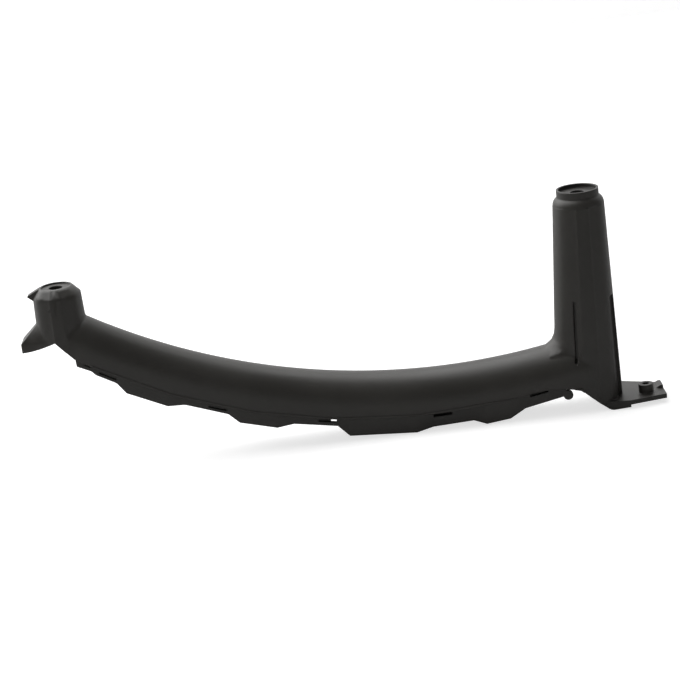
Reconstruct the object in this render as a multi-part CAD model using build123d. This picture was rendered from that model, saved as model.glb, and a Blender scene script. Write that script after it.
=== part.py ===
from build123d import *
import os
from math import asin, cos, degrees, radians, sin, sqrt

# Inner door pull handle: one moulded piece with a bowed grip between two hollow posts.
# The origin is on the tall post's screw hole, at the face of its seat. +Z runs along the
# posts towards the door and +X from the short post to the tall one. Millimetres.

# Posts and their seats
post_pitch = 350.0
short_seat_rise = 10.9
seat_thickness = 4.0
screw_hole_radius = 4.6
wall = 3.0

# Tall post: a round neck and shoulder on a body that leans towards the grip as it widens
tall_rim_height = 2.5
tall_rim_wall = 1.4
tall_neck_radius = 14.0
tall_neck_length = 5.0
tall_shoulder_length = 5.2
tall_shoulder_round = 6.0
tall_shoulder_step = 0.1
tall_body_radius = 17.1
tall_base_half_length = 23.1
tall_base_half_width = 20.0
tall_base_lean = 4.0
tall_blend_radius = 12.0

# Grooves down the tall post, at angles from the front towards +X
front_groove_angle = -28.0
front_groove_width = 2.0
front_groove_end = 115.5
side_groove_angle = 64.0
side_groove_width = 8.0
groove_start = 70.5
groove_depth = 1.8

# Short post: a chamfered top with a lug beside its rim and a moulding pip on its front
short_rim_height = 1.0
short_rim_wall = 1.3
short_rim_radius = 11.1
short_chamfer_drop = 5.4
short_body_radius = 16.0
short_base_radius = 17.6
short_blend_radius = 5.0
lug_reach = 19.2
lug_width = 6.0
lug_slope_drop = 3.6
lug_drop = 7.4
lug_nose = 1.6
pip_radius = 0.8
pip_height = 0.35
pip_across = 4.9
pip_drop = 12.5

# Toe flared out below the short post
toe_reach = 27.6
toe_tip_half_width = 9.0
toe_root_half_width = 16.2
toe_tip_drop = 33.7
toe_rim = 6.2
toe_flare = 11.5
toe_flare_inset = 1.0
toe_corner_reach = 4.2
toe_corner_drop = 33.5
toe_arch = 1.3

# Bow of the grip, seen from the side: an arc for its crown, and an arc for its lower edge
# that is set by the grip's depth at the short post and at the lowest point
crown_radius = 442.4
crown_low_from_tall = 101.5
crown_low_drop = 108.8
grip_depth_short = 30.5
grip_depth_low = 26.4
edge_low_from_tall = 115.0
grip_half_width_short = 17.4
grip_half_width_tall = 20.5
flank_radius = 80.0
grip_overrun = 12.0
grip_start_from_short = 5.0
grip_end_from_tall = 7.5
edge_start_from_short = 7.0
edge_end_from_tall = 45.0
skirt_corner_from_tall = 11.2
skirt_corner_drop = 131.1
skirt_corner_round = 4.0
skirt_toe_from_tall = 8.2
skirt_toe_round = 6.0
lip_reach = 0.45
lip_height = 1.0

# Foot plate beside the tall post, with its lip, boss and end tab
foot_top_drop = 142.1
foot_thickness = 3.0
foot_lip_depth = 6.3
foot_lip_rise = 1.6
foot_root_half_width = 16.5
foot_lip_reach = 21.4
foot_reach = 46.6
foot_front = 20.6
foot_back = 22.0
foot_end_front = 15.5
foot_end_back = 9.8
boss_from_tall = 34.3
boss_forward = 6.0
boss_radius = 5.0
boss_height = 5.8
boss_hole_radius = 2.3
tab_height = 1.7
tab_thickness = 2.0
tab_run = 5.0
tab_front = 2.0
tab_back = 9.0

# Clip walls under the grip: deep teeth, and shallow stretches that carry the slots.
# Their places are shares of the strip, from its hook at the short post to its end lug.
clip_start_from_short = 6.8
clip_end_from_tall = 21.7
clip_wall = 2.4
clip_root = 5.0
tooth_inset = 2.0
slot_inset = 4.4
tooth_spans = ((0.120, 0.204), (0.348, 0.422), (0.565, 0.696), (0.833, 0.880))
tooth_depths = (8.9, 9.3, 12.3, 13.8)
slot_wall_depths = (5.4, 5.6, 6.2, 10.4, 10.2)
ramp_before_tooth = 0.024
ramp_after_tooth = 0.033
slot_places = (0.074, 0.300, 0.520, 0.750, 0.946)
slot_length = 12.4
slot_height = 3.0
slot_below_edge = 0.4
hook_end = 0.041
hook_ramp = 0.011
hook_depth = 5.2
hook_step = 1.0
hook_slot_place = 0.029
hook_slot_length = 4.4
hook_slot_height = 1.7
end_lug_radius = 3.3

# Ribs inside the channel
rib_thickness = 2.2
cross_rib_lift = 1.0
spine_depth = 8.2
spine_notch_place = 0.536
spine_notch_length = 5.0

# Steps of the lofts, how far the posts' blends run into the grip and how far round the
# post they go, and how far a cut runs past what it opens
grip_sections = 7
blend_sections = 7
blend_sink = 0.6
blend_spread = 75.0
cut_over = 2.0

crown_centre = Vector(-crown_low_from_tall, 0, crown_radius - crown_low_drop)


def crown_z(x):
    """Height of the crown's arc at x."""
    return crown_centre.Z - sqrt(crown_radius**2 - (x - crown_centre.X) ** 2)


short_x = -post_pitch
short_crown_z = crown_z(short_x)
short_seat_z = short_crown_z + short_seat_rise
short_rim_z = short_seat_z + short_rim_height
short_body_z = short_rim_z - short_chamfer_drop
toe_tip_z = short_seat_z - toe_tip_drop
foot_top_z = -foot_top_drop
foot_lip_z = foot_top_z - foot_lip_depth
tall_neck_z = tall_rim_height - tall_neck_length
tall_body_z = tall_neck_z - tall_shoulder_length
edge_low_z = -crown_low_drop - grip_depth_low
edge_rise = short_crown_z - grip_depth_short - edge_low_z
edge_radius = ((post_pitch - edge_low_from_tall) ** 2 + edge_rise**2) / (2 * edge_rise)
edge_centre = Vector(-edge_low_from_tall, 0, edge_radius + edge_low_z)
side_view = Plane.XZ
side_reach = foot_back + cut_over


def edge_angle(x):
    """Angle about the lower edge's centre of the arc's point at x."""
    return degrees(asin((x - edge_centre.X) / edge_radius))


def edge_point(angle, below=0.0):
    """Point on the lower edge's arc, or a distance below it."""
    outward = Vector(sin(radians(angle)), 0, -cos(radians(angle)))
    return edge_centre + outward * (edge_radius + below)


def side_point(angle, below=0.0):
    """The same point as a pair of x and z."""
    point = edge_point(angle, below)
    return (point.X, point.Z)


def section_plane(angle):
    """Plane across the grip: its x runs along +Y and its y from the edge to the crown."""
    along = (cos(radians(angle)), 0, sin(radians(angle)))
    return Plane(edge_point(angle), x_dir=(0, 1, 0), z_dir=along)


def section_height(angle):
    """Height of the grip's section, from the lower edge's arc to the crown's."""
    up = Vector(-sin(radians(angle)), 0, cos(radians(angle)))
    reach = edge_point(angle) - crown_centre
    depth = reach.dot(up)
    return -depth - sqrt(depth**2 - reach.dot(reach) + crown_radius**2)


grip_start = edge_angle(short_x + grip_start_from_short)
grip_end = edge_angle(-grip_end_from_tall)
clip_start = edge_angle(short_x + clip_start_from_short)
clip_end = edge_angle(-clip_end_from_tall)


def clip_angle(share):
    """Angle of a place along the clip strip, given as a share of its length."""
    return clip_start + (clip_end - clip_start) * share


def grip_half_width(angle):
    """Half width of the grip, which grows evenly from the short post to the tall one."""
    share = (angle - grip_start) / (grip_end - grip_start)
    return grip_half_width_short + (grip_half_width_tall - grip_half_width_short) * share


def edge_half_width(angle):
    """Half width of the skin at its lower edge, where the barrelled flanks tuck in."""
    widest = section_height(angle) - grip_half_width(angle)
    return grip_half_width(angle) - flank_radius + sqrt(flank_radius**2 - widest**2)


def section_face(angle, inset, overrun, half=False):
    """Arch section: a half round crown on slightly barrelled flanks, or one half of it."""
    widest = section_height(angle) - grip_half_width(angle)
    radius = grip_half_width(angle) - inset
    bend = flank_radius - inset
    turn = degrees(asin((widest + overrun) / bend))
    right = JernArc((radius, widest), (0, -1), bend, -turn)
    crown = JernArc((radius, widest), (0, 1), radius, 90 if half else 180)
    if half:
        foot = (0, (right @ 1).Y)
        face = make_face([crown, right, Polyline(right @ 1, foot, crown @ 1)])
    else:
        left = JernArc((-radius, widest), (0, -1), bend, turn)
        face = make_face([crown, right, Line(right @ 1, left @ 1), left])
    return section_plane(angle) * face


def grip(inset=0.0, overrun=grip_overrun):
    """Grip lofted along its bow, with a rounded nose at each end, inside the posts."""
    step = (grip_end - grip_start) / (grip_sections - 1)
    faces = [section_face(grip_start + step * i, inset, overrun) for i in range(grip_sections)]
    solid = loft(faces)
    for angle, side in ((grip_start, 1), (grip_end, -1)):
        plane = section_plane(angle)
        half = section_face(angle, inset, overrun, half=True)
        solid += revolve(half, Axis(plane.origin, plane.y_dir * side), 180)
    return solid


def post_section(z, centre, length, width, side, blend=0.0, grip_radius=0.0):
    """Section of a post at height z. On the grip's side a concave blend of a given radius
    stretches it, most in the middle and not at all at the flanks, as the crown falls away."""
    steps = range(blend_sections)
    turns = [radians(blend_spread * (1 - 2 * i / (blend_sections - 1))) for i in steps]
    points = []
    for turn in turns:
        radius = blend * cos(turn) ** 2
        base = crown_z(centre + side * (length + blend)) - grip_radius * (1 - cos(turn))
        depth = min(max(base + radius - blend_sink - z, 0), radius)
        flare = radius - sqrt(radius**2 - depth**2)
        points.append((centre + side * (length + flare) * cos(turn), (width + flare) * sin(turn)))
    ends = [(centre, width), (centre, -width)]
    near = Spline(ends[0], *points, ends[1], tangents=[(side, 0), (-side, 0)])
    plain = [(centre - side * length * cos(t), width * sin(t)) for t in turns]
    far = Spline(ends[0], *plain, ends[1], tangents=[(-side, 0), (side, 0)])
    return Plane((0, 0, z)) * make_face([near, far])


def blend_heights(side_x, blend, side, grip_radius):
    """Heights of the sections through a blend, from its top to its lowest point."""
    low = crown_z(side_x + side * blend) - blend_sink
    top = low + blend
    bottom = low - grip_radius * (1 - cos(radians(blend_spread)))
    return [top + (bottom - top) * i / blend_sections for i in range(blend_sections + 1)]


def tall_station(z, inset=0.0, blend=0.0):
    """Section of the tall post at height z."""
    share = (tall_body_z - z) / (tall_body_z - foot_lip_z)
    length = tall_body_radius + (tall_base_half_length - tall_body_radius) * share - inset
    width = tall_body_radius + (tall_base_half_width - tall_body_radius) * share - inset
    return post_section(z, -tall_base_lean * share, length, width, -1, blend, grip_half_width_tall)


def tall_cone(inset=0.0, top=tall_body_z, bottom=foot_lip_z):
    """Leaning cone of the tall post's body."""
    return loft([tall_station(top, inset), tall_station(bottom, inset)], ruled=True)


def tall_body():
    """Body of the tall post, with a concave blend from its side to the grip's crown."""
    side_x = -tall_base_lean - tall_body_radius
    heights = blend_heights(side_x, tall_blend_radius, -1, grip_half_width_tall)
    blend = [tall_station(z, blend=tall_blend_radius) for z in heights]
    return loft([tall_station(tall_body_z), *blend, tall_station(foot_lip_z)], ruled=True)


def tall_head():
    """Neck and rounded shoulder at the top of the tall post, a fine step inside its body."""
    low = (tall_body_radius - tall_shoulder_step, tall_body_z)
    high = (tall_neck_radius, tall_neck_z)
    shoulder = RadiusArc(low, high, -tall_shoulder_round)
    rim = (tall_neck_radius, tall_rim_height)
    rest = Polyline(high, rim, (0, tall_rim_height), (0, tall_body_z), low)
    return revolve(side_view * make_face([shoulder, rest]), Axis.Z)


def groove(angle, width, end):
    """Square groove that follows the tall post's leaning surface down to a given depth."""
    shell = tall_cone(-groove_depth) - tall_cone(groove_depth)
    ends = []
    for z in (-groove_start, -end):
        centre = -tall_base_lean * (tall_body_z - z) / (tall_body_z - foot_lip_z)
        reach = 2 * tall_base_half_length
        bar = Pos(centre, 0, z) * Rot(0, 0, angle) * Pos(0, -reach / 2) * Rectangle(width, reach)
        ends.append(bar)
    return loft(ends, ruled=True) & shell


short_base_z = edge_point(edge_angle(short_x + short_base_radius)).Z


def short_radius(z):
    """Radius of the short post's body at height z."""
    share = (short_body_z - z) / (short_body_z - short_base_z)
    return short_body_radius + (short_base_radius - short_body_radius) * share


def short_station(z, inset=0.0, blend=0.0):
    """Section of the short post at height z."""
    radius = short_radius(z) - inset
    return post_section(z, short_x, radius, radius, 1, blend, grip_half_width_short)


def short_post():
    """Short post: chamfered head, slightly conical body and a blend to the grip's crown."""
    heights = blend_heights(short_x + short_body_radius, short_blend_radius, 1, grip_half_width_short)
    blend = [short_station(z, blend=short_blend_radius) for z in heights if z > short_base_z]
    rim = post_section(short_rim_z, short_x, short_rim_radius, short_rim_radius, 1)
    sections = [rim, short_station(short_body_z), *blend, short_station(short_base_z)]
    return loft(sections, ruled=True)


def pip():
    """Small round moulding pip on the front of the short post."""
    z = short_rim_z - pip_drop
    depth = sqrt(short_radius(z) ** 2 - pip_across**2)
    place = Plane((short_x - pip_across, -depth, z), x_dir=(1, 0, 0), z_dir=(0, -1, 0))
    return place * extrude(Circle(pip_radius), pip_height, both=True)


def lug():
    """Small wedge lug beside the short post's rim, with a rounded nose."""
    inner = short_x - short_rim_radius / 2
    tip = short_x - lug_reach
    root = short_x - short_body_radius
    top = (tip + lug_nose / 2, short_rim_z - lug_slope_drop)
    low = (tip + lug_nose / 2, short_rim_z - lug_slope_drop - lug_nose)
    nose = ThreePointArc(top, (tip, (top[1] + low[1]) / 2), low)
    rest = Polyline(
        low,
        (root, short_rim_z - lug_drop),
        (inner, short_rim_z - lug_drop),
        (inner, short_rim_z),
        (short_x - short_rim_radius, short_rim_z),
        top,
    )
    return extrude(side_view * make_face([nose, rest]), lug_width / 2, both=True)


def toe_plan(shrink=0.0, half_length=toe_reach):
    """Tapered outline of the toe from above, from the short post's axis outwards."""
    share = half_length / toe_reach
    root = toe_root_half_width - shrink
    tip = (toe_tip_half_width - shrink) * share
    far = short_x - half_length + shrink
    return make_face(Polyline((short_x, -root), (far, -tip), (far, tip), (short_x, root), close=True))


def toe():
    """Flared toe: an upright rim with sloping sides that rise into the short post."""
    rim = Pos(0, 0, toe_tip_z) * extrude(toe_plan(), short_base_z - toe_tip_z)
    top_z = toe_tip_z + toe_flare
    top = Pos(0, 0, top_z) * toe_plan(toe_flare_inset, short_radius(top_z))
    return rim + loft([Pos(0, 0, toe_tip_z) * toe_plan(), top], ruled=True)


def foot():
    """Foot plate with a deeper lip beside the post, a boss and an end tab."""
    front = [(0, -foot_root_half_width), (foot_lip_reach, -foot_front)]
    back = [(foot_lip_reach, foot_back), (0, foot_root_half_width)]
    end = [(foot_reach, -foot_end_front), (foot_reach, foot_end_back)]
    top = Pos(0, 0, foot_top_z)
    solid = top * extrude(make_face(Polyline(*front, *end, *back, close=True)), -foot_thickness)
    solid += top * extrude(make_face(Polyline(*front, *back, close=True)), -foot_lip_depth)
    solid += top * Pos(boss_from_tall, -boss_forward) * extrude(Circle(boss_radius), boss_height)
    tab = Polyline(
        (foot_reach - tab_run, foot_top_z),
        (foot_reach, foot_top_z),
        (foot_reach, foot_top_z + tab_height),
        (foot_reach - tab_thickness, foot_top_z + tab_height),
        close=True,
    )
    tab_width = tab_front + tab_back
    return solid + Pos(0, tab_back, 0) * extrude(side_view * make_face(tab), tab_width)


def lower_trim():
    """Side outline that everything is trimmed to: toe, lower edge of the skin and skirt."""
    toe_low = (short_x - toe_reach - cut_over, toe_tip_z - toe_rim)
    corner = (short_x - toe_corner_reach, short_seat_z - toe_corner_drop)
    start = edge_angle(short_x + edge_start_from_short)
    end = edge_angle(-edge_end_from_tall)
    skirt = (-skirt_corner_from_tall, -skirt_corner_drop)
    skirt_toe = (skirt_toe_from_tall, foot_lip_z)
    far = foot_reach + cut_over
    high = tall_rim_height + cut_over
    edge = ThreePointArc(side_point(start), side_point((start + end) / 2), side_point(end))
    lead = TangentArc(side_point(end), skirt, tangent=(cos(radians(end)), sin(radians(end))))
    rest = Polyline(
        skirt,
        skirt_toe,
        (foot_lip_reach, foot_lip_z + foot_lip_rise),
        (far, foot_lip_z + foot_lip_rise),
        (far, high),
        (toe_low[0], high),
        toe_low,
    )
    middle = ((toe_low[0] + corner[0]) / 2, (toe_low[1] + corner[1]) / 2 - toe_arch)
    arch = ThreePointArc(toe_low, middle, corner)
    outline = make_face([edge, lead, rest, arch, Line(corner, side_point(start))])
    for place, radius in ((skirt, skirt_corner_round), (skirt_toe, skirt_toe_round)):
        outline = fillet(outline.vertices().sort_by_distance((*place, 0))[0], radius)
    return extrude(side_view * outline, side_reach, both=True)


def lip(side):
    """Thin lip that stands out along the skin's lower edge on one side."""
    corner = edge_angle(-skirt_corner_from_tall)
    level = edge_angle(-edge_end_from_tall)
    start = edge_angle(short_x + short_base_radius)
    fall = edge_point(corner).Z + skirt_corner_drop
    faces = []
    for i in range(grip_sections):
        angle = start + (corner - start) * i / (grip_sections - 1)
        drop = fall * max((angle - level) / (corner - level), 0) ** 2
        outside = edge_half_width(angle) + lip_reach
        bar = Pos(side * (outside - wall / 2), lip_height - drop) * Rectangle(
            wall, lip_height + cut_over, align=(Align.CENTER, Align.MAX)
        )
        faces.append(section_plane(angle) * bar)
    return loft(faces, ruled=True)


def clip_stations():
    """Stations along a clip wall: angle, depth below the edge and inset from the skin."""
    stations = [
        (0.0, 0.0, slot_inset),
        (hook_ramp, hook_depth, slot_inset),
        (hook_end, hook_depth - hook_step, slot_inset),
        (hook_end + hook_ramp, slot_wall_depths[0], slot_inset),
    ]
    for i, (first, last) in enumerate(tooth_spans):
        stations += [
            (first - ramp_before_tooth, slot_wall_depths[i], slot_inset),
            (first, tooth_depths[i], tooth_inset),
            (last, tooth_depths[i], tooth_inset),
            (last + ramp_after_tooth, slot_wall_depths[i + 1], slot_inset),
        ]
    stations.append((1.0, slot_wall_depths[-1], slot_inset))
    return [(clip_angle(share), depth, inset) for share, depth, inset in stations]


def slot_cut(angle, length, height):
    """Slot through the front clip wall, just below the edge of the skin."""
    middle = edge_point(angle, slot_below_edge + height / 2)
    plane = Plane(middle, x_dir=section_plane(angle).z_dir, z_dir=(0, -1, 0))
    slot = Box(length, height, side_reach, align=(Align.CENTER, Align.CENTER, Align.MIN))
    return plane * Pos(0, 0, rib_thickness) * slot


def clip_wall_front():
    """Corrugated clip wall on the front: its plan and its side outline, intersected."""
    stations = clip_stations()
    end_lug = side_point(clip_end, slot_wall_depths[-1])
    level = tooth_depths[0]
    outer = [(side_point(a, level)[0], inset - edge_half_width(a)) for a, d, inset in stations]
    outer.append((end_lug[0] + end_lug_radius, outer[-1][1]))
    inner = [(x, y + clip_wall) for x, y in reversed(outer)]
    low = foot_lip_z - spine_depth
    plan = extrude(Pos(0, 0, low) * make_face(Polyline(*outer, *inner, close=True)), -low)
    middle = clip_angle(0.5)
    top = ThreePointArc(*[side_point(a, -clip_root) for a in (clip_end, middle, clip_start)])
    bottom = Polyline(top @ 1, *[side_point(a, d) for a, d, inset in stations], top @ 0)
    side = make_face([top, bottom]) + Pos(*end_lug) * Circle(end_lug_radius)
    solid = plan & extrude(side_view * side, side_reach, both=True)
    for share in slot_places:
        solid -= slot_cut(clip_angle(share), slot_length, slot_height)
    return solid - slot_cut(clip_angle(hook_slot_place), hook_slot_length, hook_slot_height)


def spine():
    """Rib along the middle of the channel, relieved by one notch."""
    start = edge_angle(short_x + short_base_radius + short_blend_radius)
    end = edge_angle(-tall_base_lean - tall_base_half_length)
    middle = (start + end) / 2
    embed = wall / 2
    top = ThreePointArc(*[side_point(a, embed - section_height(a)) for a in (start, middle, end)])
    bottom = ThreePointArc(*[side_point(a, spine_depth) for a in (start, middle, end)])
    outline = make_face([top, bottom, Line(top @ 0, bottom @ 0), Line(top @ 1, bottom @ 1)])
    rib = extrude(side_view * outline, rib_thickness / 2, both=True)
    notch_angle = clip_angle(spine_notch_place)
    along = section_plane(notch_angle).z_dir
    notch = Plane(edge_point(notch_angle, spine_depth), x_dir=along, z_dir=(0, 1, 0))
    return rib - notch * Box(spine_notch_length, 2 * spine_depth, 2 * rib_thickness)


def cross_rib(angle):
    """Rib across the channel, from the crown down to just above the skin's edge."""
    return extrude(section_face(angle, wall / 2, -cross_rib_lift), rib_thickness / 2, both=True)


def seat_cut(x, seat_z, recess_radius, depth):
    """Recess inside a post's rim and the screw hole through its seat."""
    recess = Pos(x, 0, seat_z) * extrude(Circle(recess_radius), depth + cut_over)
    hole = Pos(x, 0, seat_z) * extrude(Circle(screw_hole_radius), -seat_thickness - cut_over)
    return recess + hole


def outer_form():
    """The whole moulding as if solid, trimmed below."""
    short_end = short_post() + lug() + pip() + toe()
    solid = grip() + (tall_body() + tall_head()) + short_end + foot() + lip(1) + lip(-1)
    return solid & lower_trim()


def hollow():
    """Inside of the moulding, open below: channel, both posts and the toe."""
    solid = grip(wall, grip_overrun + cut_over)
    solid += tall_cone(wall, tall_body_z - wall, foot_lip_z - cut_over)
    neck = extrude(Circle(tall_neck_radius - wall), tall_body_z - 2 * wall + seat_thickness)
    solid += Pos(0, 0, -seat_thickness) * neck
    well_top = short_station(short_seat_z - seat_thickness, wall)
    solid += loft([well_top, short_station(short_base_z - cut_over, wall)], ruled=True)
    return solid + Pos(0, 0, toe_tip_z - wall) * extrude(toe_plan(wall), -2 * toe_rim)


def handle():
    """The moulded handle: hollow skin with its clip walls, ribs, grooves and seats."""
    solid = outer_form() - hollow()
    front = clip_wall_front()
    solid += front + mirror(front, side_view) + spine()
    for span in tooth_spans:
        for share in span:
            solid += cross_rib(clip_angle(share))
    solid -= groove(front_groove_angle, front_groove_width, front_groove_end)
    solid -= groove(side_groove_angle, side_groove_width, foot_top_drop)
    solid -= seat_cut(0, 0, tall_neck_radius - tall_rim_wall, tall_rim_height)
    solid -= seat_cut(short_x, short_seat_z, short_rim_radius - short_rim_wall, short_rim_height)
    boss_top = Pos(boss_from_tall, -boss_forward, foot_top_z + boss_height)
    through = boss_height + foot_thickness + cut_over
    return solid - boss_top * extrude(Circle(boss_hole_radius), -through)


os.makedirs("parts", exist_ok=True)
export_step(handle(), "parts/pull_handle.step")
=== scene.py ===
"""Inner door pull handle, dressed and lit for its photograph.

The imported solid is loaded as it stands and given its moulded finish. Everything is in
metres, in the part's own frame: the origin on the tall post's screw hole, +Z along the
posts towards the door, and the front towards -Y.
"""

import logging
import math
from dataclasses import dataclass, field
from enum import Enum
from typing import Any

import bpy
from mathutils import Matrix, Vector


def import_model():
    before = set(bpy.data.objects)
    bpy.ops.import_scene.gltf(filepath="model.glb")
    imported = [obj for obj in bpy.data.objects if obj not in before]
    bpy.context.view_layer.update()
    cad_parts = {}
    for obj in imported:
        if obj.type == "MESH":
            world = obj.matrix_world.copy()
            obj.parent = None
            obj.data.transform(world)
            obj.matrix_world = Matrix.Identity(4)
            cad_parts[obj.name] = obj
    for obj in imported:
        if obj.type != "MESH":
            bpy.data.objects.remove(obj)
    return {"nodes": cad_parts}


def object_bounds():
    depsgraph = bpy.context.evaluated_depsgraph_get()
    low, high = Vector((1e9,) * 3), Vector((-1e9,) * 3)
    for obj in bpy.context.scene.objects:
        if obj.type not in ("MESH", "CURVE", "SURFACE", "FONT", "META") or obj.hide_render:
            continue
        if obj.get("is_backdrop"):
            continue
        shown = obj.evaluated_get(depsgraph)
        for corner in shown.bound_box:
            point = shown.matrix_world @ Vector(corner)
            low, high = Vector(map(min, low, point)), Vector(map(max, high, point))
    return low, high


LOG = logging.getLogger("pull_handle")
MM = 0.001


def linear(hex_colour: str) -> tuple[float, float, float, float]:
    """Turns an sRGB hex colour into linear red, green, blue and alpha.

    Args:
        hex_colour: Six hex digits with a leading hash.

    Returns:
        The linear colour, fully opaque.
    """
    channels = [int(hex_colour[i:i + 2], 16) / 255 for i in (1, 3, 5)]
    values = [c / 12.92 if c <= 0.04045 else ((c + 0.055) / 1.055) ** 2.4 for c in channels]
    return (values[0], values[1], values[2], 1.0)


def add_node(tree: bpy.types.NodeTree, kind: str, settings: dict[str, Any] | None = None,
             inputs: dict[Any, Any] | None = None) -> bpy.types.Node:
    """Adds one node with its settings, its socket values and its links.

    Args:
        tree: Node tree that takes the node.
        kind: Blender's type name of the node.
        settings: Attributes set on the node.
        inputs: Socket name or number to a value, or to the output socket that feeds it.

    Returns:
        The new node.
    """
    node = tree.nodes.new(kind)
    for name, value in (settings or {}).items():
        setattr(node, name, value)
    for socket, value in (inputs or {}).items():
        if isinstance(value, bpy.types.NodeSocket):
            tree.links.new(value, node.inputs[socket])
        else:
            node.inputs[socket].default_value = value
    return node


def new_material(name: str) -> tuple[bpy.types.Material, bpy.types.NodeTree]:
    """Makes an empty node material.

    Args:
        name: The material's name.

    Returns:
        The material and its cleared node tree.
    """
    material = bpy.data.materials.new(name)
    material.use_nodes = True
    material.node_tree.nodes.clear()
    return material, material.node_tree


def smooth_group(name: str, weld: float, crease: float) -> bpy.types.NodeTree:
    """Makes the geometry nodes that shade a faceted surface as the curved one it stands for.

    Args:
        name: The group's name.
        weld: Distance under which the facets' corners count as one.
        crease: Angle above which an edge stays sharp, in radians.

    Returns:
        The node group.
    """
    tree = bpy.data.node_groups.new(name, "GeometryNodeTree")
    for way in ("INPUT", "OUTPUT"):
        tree.interface.new_socket("Geometry", in_out=way, socket_type="NodeSocketGeometry")
    start = add_node(tree, "NodeGroupInput")
    plain = add_node(tree, "GeometryNodeRemoveAttribute", None, {
        "Geometry": start.outputs[0], "Name": "custom_normal"})
    welded = add_node(tree, "GeometryNodeMergeByDistance", None, {
        "Geometry": plain.outputs["Geometry"], "Distance": weld})
    faces = add_node(tree, "GeometryNodeSetShadeSmooth", {"domain": "FACE"}, {
        "Geometry": welded.outputs["Geometry"], "Shade Smooth": True})
    angle = add_node(tree, "GeometryNodeInputMeshEdgeAngle")
    sharp = add_node(tree, "FunctionNodeCompare", {"data_type": "FLOAT", "operation": "GREATER_THAN"}, {
        0: angle.outputs["Unsigned Angle"], 1: crease})
    edges = add_node(tree, "GeometryNodeSetShadeSmooth", {"domain": "EDGE"}, {
        "Geometry": faces.outputs["Geometry"], "Selection": sharp.outputs["Result"], "Shade Smooth": False})
    add_node(tree, "NodeGroupOutput", None, {0: edges.outputs["Geometry"]})
    return tree


class Spread(Enum):
    """How a colour ramp runs from its first colour to its second."""

    EVEN = "LINEAR"
    SOFT = "EASE"


@dataclass(frozen=True)
class MouldedPlastic:
    """Satin injection-moulded polypropylene with a fine spark-eroded mould grain.

    The grain scatters the gloss, so that the crown shows a broad soft sheen with no sharp
    reflection, and slow changes of gloss show how the melt filled the mould.
    """

    name: str = "Polypropylene_moulded_satin"
    colour: str = "#2a2824"
    flow_colour: str = "#302e2a"
    ior: float = 1.52
    roughness: tuple[float, float] = (0.40, 0.50)
    # The real grain is about 0.15 mm, too fine for the picture, so it is drawn coarser.
    grain_mm: float = 0.7
    grain_depth_mm: float = 0.03
    # Moulded edges are rounded by about this much, which gives each a soft line of light.
    edge_round_mm: float = 1.2
    flow_mm: float = 45.0
    flow_spread: Spread = Spread.SOFT

    def build(self) -> bpy.types.Material:
        """Builds the material.

        Returns:
            The finished material.
        """
        material, tree = new_material(self.name)
        place = add_node(tree, "ShaderNodeTexCoord").outputs["Object"]
        flow = add_node(tree, "ShaderNodeTexNoise", None, {
            "Vector": place, "Scale": 1 / (self.flow_mm * MM), "Detail": 3.0, "Roughness": 0.55})
        grain = add_node(tree, "ShaderNodeTexNoise", None, {
            "Vector": place, "Scale": 1 / (self.grain_mm * MM), "Detail": 2.0, "Roughness": 0.6})
        tint = add_node(tree, "ShaderNodeValToRGB", None, {"Fac": flow.outputs["Fac"]})
        tint.color_ramp.interpolation = self.flow_spread.value
        tint.color_ramp.elements[0].position = 0.35
        tint.color_ramp.elements[0].color = linear(self.colour)
        tint.color_ramp.elements[1].position = 0.70
        tint.color_ramp.elements[1].color = linear(self.flow_colour)
        mixed = add_node(tree, "ShaderNodeMath", {"operation": "MULTIPLY_ADD"}, {
            0: grain.outputs["Fac"], 1: 0.35, 2: flow.outputs["Fac"]})
        gloss = add_node(tree, "ShaderNodeMapRange", None, {
            "Value": mixed.outputs["Value"], "From Min": 0.4, "From Max": 0.95,
            "To Min": self.roughness[0], "To Max": self.roughness[1]})
        rounded = add_node(tree, "ShaderNodeBevel", {"samples": 6}, {"Radius": self.edge_round_mm * MM})
        bump = add_node(tree, "ShaderNodeBump", None, {
            "Height": grain.outputs["Fac"], "Strength": 0.35, "Distance": self.grain_depth_mm * MM,
            "Normal": rounded.outputs["Normal"]})
        shader = add_node(tree, "ShaderNodeBsdfPrincipled", None, {
            "Base Color": tint.outputs["Color"], "Roughness": gloss.outputs["Result"],
            "Normal": bump.outputs["Normal"], "IOR": self.ior})
        add_node(tree, "ShaderNodeOutputMaterial", None, {"Surface": shader.outputs["BSDF"]})
        return material


@dataclass(frozen=True)
class StudioPaper:
    """Matt white background paper, which the camera sees as plain white.

    The paper keeps the light's own shading, so the object's shadow stays on it. Where it
    is mirrored, reflections see it as bright as the camera does.
    """

    name: str
    mirrored: bool
    colour: str = "#c6c6c6"
    lift: float = 0.70

    def build(self) -> bpy.types.Material:
        """Builds the material.

        Returns:
            The finished material.
        """
        material, tree = new_material(self.name)
        path = add_node(tree, "ShaderNodeLightPath")
        seen = path.outputs["Is Camera Ray"]
        if self.mirrored:
            seen = add_node(tree, "ShaderNodeMath", {"operation": "MAXIMUM"}, {
                0: seen, 1: path.outputs["Is Glossy Ray"]}).outputs["Value"]
        strength = add_node(tree, "ShaderNodeMath", {"operation": "MULTIPLY"}, {
            0: seen, 1: self.lift})
        matt = add_node(tree, "ShaderNodeBsdfDiffuse", None, {"Color": linear(self.colour)})
        glow = add_node(tree, "ShaderNodeEmission", None, {
            "Color": linear("#ffffff"), "Strength": strength.outputs["Value"]})
        both = add_node(tree, "ShaderNodeAddShader", None, {
            0: matt.outputs["BSDF"], 1: glow.outputs["Emission"]})
        add_node(tree, "ShaderNodeOutputMaterial", None, {"Surface": both.outputs["Shader"]})
        return material


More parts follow.
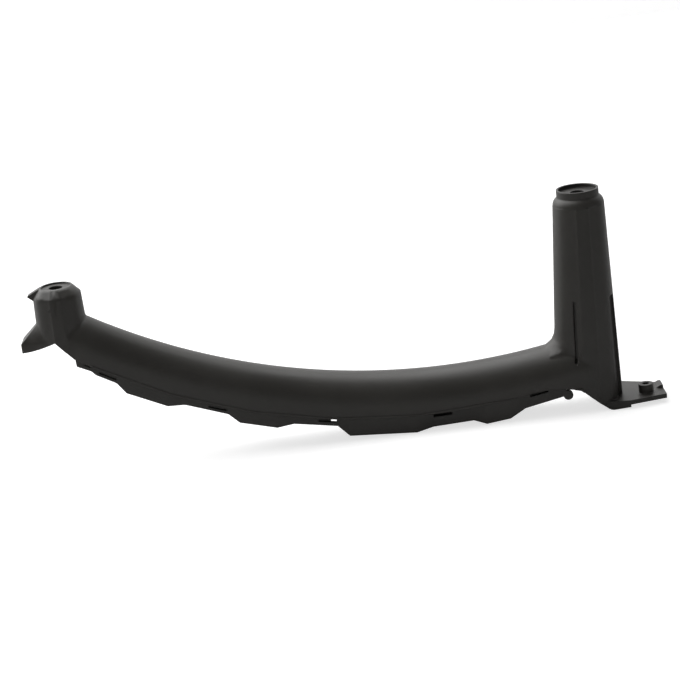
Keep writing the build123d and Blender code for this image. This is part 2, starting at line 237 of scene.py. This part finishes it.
@dataclass
class PullHandle:
    """The moulded handle: one piece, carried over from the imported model."""

    node: str = "pull_handle"
    slot: str = "moulded_plastic"
    finish: MouldedPlastic = field(default_factory=MouldedPlastic)
    weld_mm: float = 0.002
    crease_deg: float = 50.0

    def dress(self, nodes: dict[str, bpy.types.Object]) -> bpy.types.Object:
        """Gives the handle its finish and its smooth shading.

        Args:
            nodes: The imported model's objects by name.

        Returns:
            The dressed object.
        """
        piece = nodes[self.node]
        piece.data.materials.clear()
        piece.data.materials.append(self.finish.build())
        smooth = piece.modifiers.new("smooth_shading", "NODES")
        smooth.node_group = smooth_group("Smooth_shading", self.weld_mm * MM, math.radians(self.crease_deg))
        return piece


@dataclass
class Stage:
    """Floor sheet and backdrop under and behind the object."""

    half_size: float = 4.0
    behind: float = 1.6
    floor_paper: StudioPaper = StudioPaper("Paper_matt_white_floor", mirrored=False)
    wall_paper: StudioPaper = StudioPaper("Paper_matt_white_backdrop", mirrored=True)

    def sheet(self, name: str, corners: list[Vector], material: bpy.types.Material) -> bpy.types.Object:
        """Makes one flat sheet of paper.

        Args:
            name: The sheet's name.
            corners: Its four corners in order.
            material: The paper.

        Returns:
            The sheet, marked as stage.
        """
        mesh = bpy.data.meshes.new(name)
        mesh.from_pydata([tuple(c) for c in corners], [], [(0, 1, 2, 3)])
        mesh.materials.append(material)
        sheet = bpy.data.objects.new(name, mesh)
        bpy.context.scene.collection.objects.link(sheet)
        sheet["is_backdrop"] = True
        return sheet

    def build(self, floor_z: float, centre: Vector) -> list[bpy.types.Object]:
        """Lays the floor and hangs the backdrop.

        Args:
            floor_z: Height of the floor.
            centre: Middle of the object.

        Returns:
            The two sheets.
        """
        half = self.half_size
        left, right = centre.x - half, centre.x + half
        front, back = centre.y - half, centre.y + self.behind
        floor = self.sheet("floor", [
            Vector((left, front, floor_z)), Vector((right, front, floor_z)),
            Vector((right, back, floor_z)), Vector((left, back, floor_z))], self.floor_paper.build())
        wall = self.sheet("backdrop", [
            Vector((left, back, floor_z)), Vector((right, back, floor_z)),
            Vector((right, back, floor_z + half)), Vector((left, back, floor_z + half))],
            self.wall_paper.build())
        return [floor, wall]


@dataclass
class StudioLight:
    """Wide soft light from above, behind and to the left, with a weaker box low on the left."""

    key_power: float = 60.0
    key_size: float = 2.6
    key_from: tuple[float, float, float] = (-0.75, 0.70, 1.45)
    side_power: float = 3.0
    side_size: float = 1.2
    side_from: tuple[float, float, float] = (-1.5, 0.55, 0.25)
    room: str = "#ffffff"
    room_strength: float = 0.19

    def lamp(self, name: str, power: float, size: float, place: Vector, aim: Vector) -> bpy.types.Object:
        """Hangs one square soft box.

        Args:
            name: The lamp's name.
            power: Power in watts.
            size: Side of the box.
            place: Where it hangs.
            aim: What it points at.

        Returns:
            The lamp.
        """
        data = bpy.data.lights.new(name, "AREA")
        data.energy = power
        data.size = size
        lamp = bpy.data.objects.new(name, data)
        lamp.location = place
        lamp.rotation_euler = (aim - place).to_track_quat("-Z", "Y").to_euler()
        bpy.context.scene.collection.objects.link(lamp)
        return lamp

    def build(self, aim: Vector) -> None:
        """Hangs the lamps and sets the room's light.

        Args:
            aim: Middle of the object.
        """
        self.lamp("key_box", self.key_power, self.key_size, aim + Vector(self.key_from), aim)
        self.lamp("side_box", self.side_power, self.side_size, aim + Vector(self.side_from), aim)
        world = bpy.data.worlds.new("room")
        world.use_nodes = True
        tree = world.node_tree
        tree.nodes.clear()
        path = add_node(tree, "ShaderNodeLightPath")
        light = add_node(tree, "ShaderNodeMapRange", None, {
            "Value": path.outputs["Is Camera Ray"], "To Min": self.room_strength, "To Max": 1.0})
        sky = add_node(tree, "ShaderNodeBackground", None, {
            "Color": linear(self.room), "Strength": light.outputs["Result"]})
        add_node(tree, "ShaderNodeOutputWorld", None, {"Surface": sky.outputs["Background"]})
        bpy.context.scene.world = world


@dataclass
class PhotoCamera:
    """Camera at the photograph's viewing angle, for a square picture."""

    target_mm: tuple[float, float, float] = (-167.2, 0.0, -81.5)
    elevation_deg: float = 17.0
    roll_deg: float = 7.0
    distance_mm: float = 1400.0
    picture_mm: float = 456.3
    sensor_mm: float = 36.0

    def build(self) -> bpy.types.Object:
        """Places the camera and makes it the scene's own.

        Returns:
            The camera.
        """
        lift, roll = math.radians(self.elevation_deg), math.radians(self.roll_deg)
        ahead = Vector((0.0, math.cos(lift), -math.sin(lift)))
        level = Vector((0.0, math.sin(lift), math.cos(lift)))
        side = Vector((1.0, 0.0, 0.0))
        up = level * math.cos(roll) + side * math.sin(roll)
        right = ahead.cross(up)
        data = bpy.data.cameras.new("photo_camera")
        data.sensor_width = self.sensor_mm
        data.lens = self.sensor_mm * self.distance_mm / self.picture_mm
        data.clip_start, data.clip_end = 0.05, 50.0
        camera = bpy.data.objects.new("photo_camera", data)
        turn = Matrix((right, up, -ahead)).transposed().to_4x4()
        place = Vector(self.target_mm) * MM - ahead * self.distance_mm * MM
        camera.matrix_world = Matrix.Translation(place) @ turn
        bpy.context.scene.collection.objects.link(camera)
        bpy.context.scene.camera = camera
        return camera


def main() -> None:
    """Loads the model, dresses it and sets the stage, the light and the camera."""
    logging.basicConfig(level=logging.INFO, format="%(name)s: %(message)s")
    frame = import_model()
    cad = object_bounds()
    bpy.context.scene.view_settings.view_transform = "Standard"
    piece = PullHandle().dress(frame["nodes"])
    LOG.info("dressed %s in %s", piece.name, piece.data.materials[0].name)
    middle = (cad[0] + cad[1]) / 2
    for sheet in Stage().build(cad[0].z, middle):
        LOG.info("laid %s", sheet.name)
    StudioLight().build(middle)
    camera = PhotoCamera().build()
    LOG.info("placed %s", camera.name)


if __name__ == "__main__":
    main()
